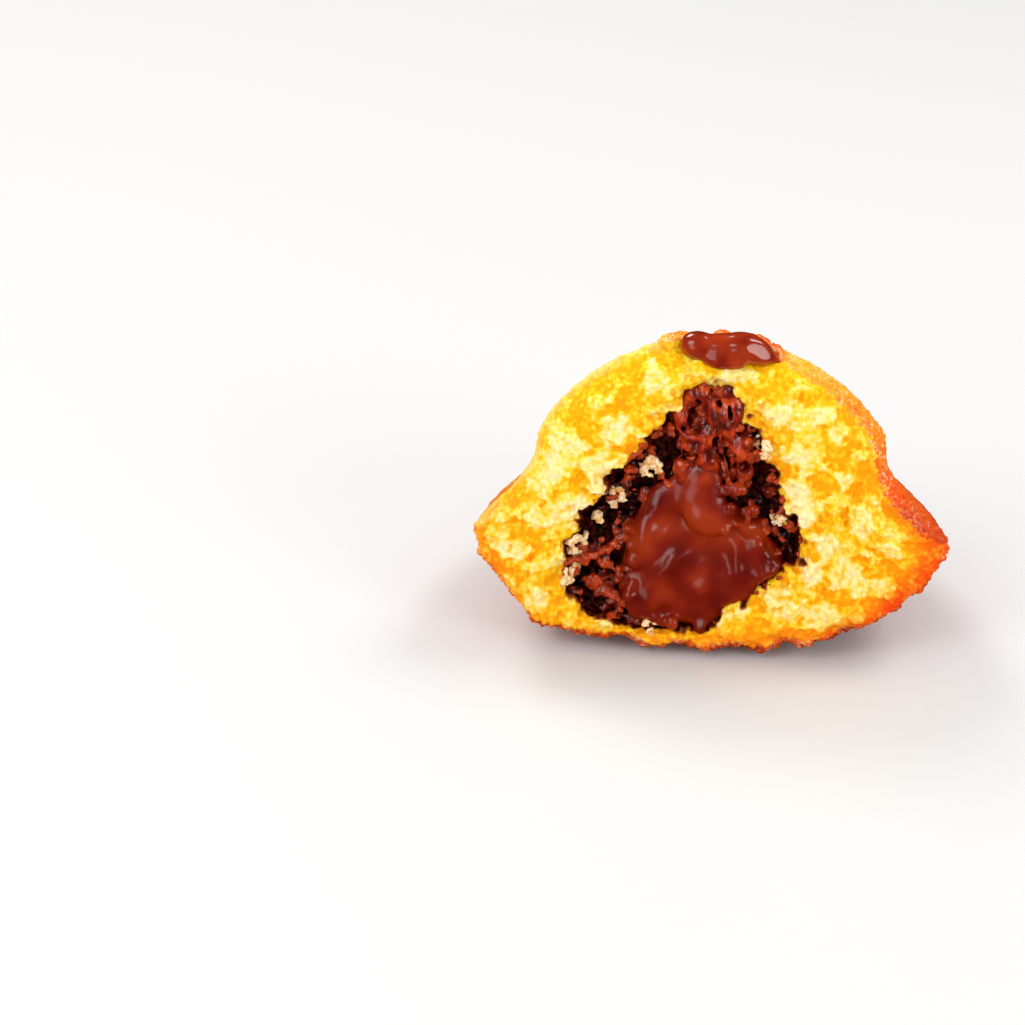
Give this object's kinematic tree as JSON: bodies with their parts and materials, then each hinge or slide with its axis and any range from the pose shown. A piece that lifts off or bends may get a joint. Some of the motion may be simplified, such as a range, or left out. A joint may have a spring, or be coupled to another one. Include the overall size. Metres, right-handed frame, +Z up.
{
  "type": "chocolate-filled madeleine half",
  "caption": "Half of a small shell-shaped sponge cake, cut across its hump, with a soft chocolate filling and a drop of chocolate on top.",
  "frame": {"origin": "on the floor, under the middle of the part's width and depth", "axes": "+Z up, -Y towards the side the cut face looks to, +X to the right of someone facing the cut"},
  "size_m": [0.05, 0.0376, 0.0349],
  "materials": {
    "cake": "matte crumb with a thin baked crust",
    "filling_chocolate": "glossy soft chocolate",
    "top_chocolate": "glossy set chocolate"
  },
  "bodies": {
    "root": {"cake_half": "cake", "chocolate_filling": "filling_chocolate", "chocolate_top": "top_chocolate"}
  },
  "joints": []
}
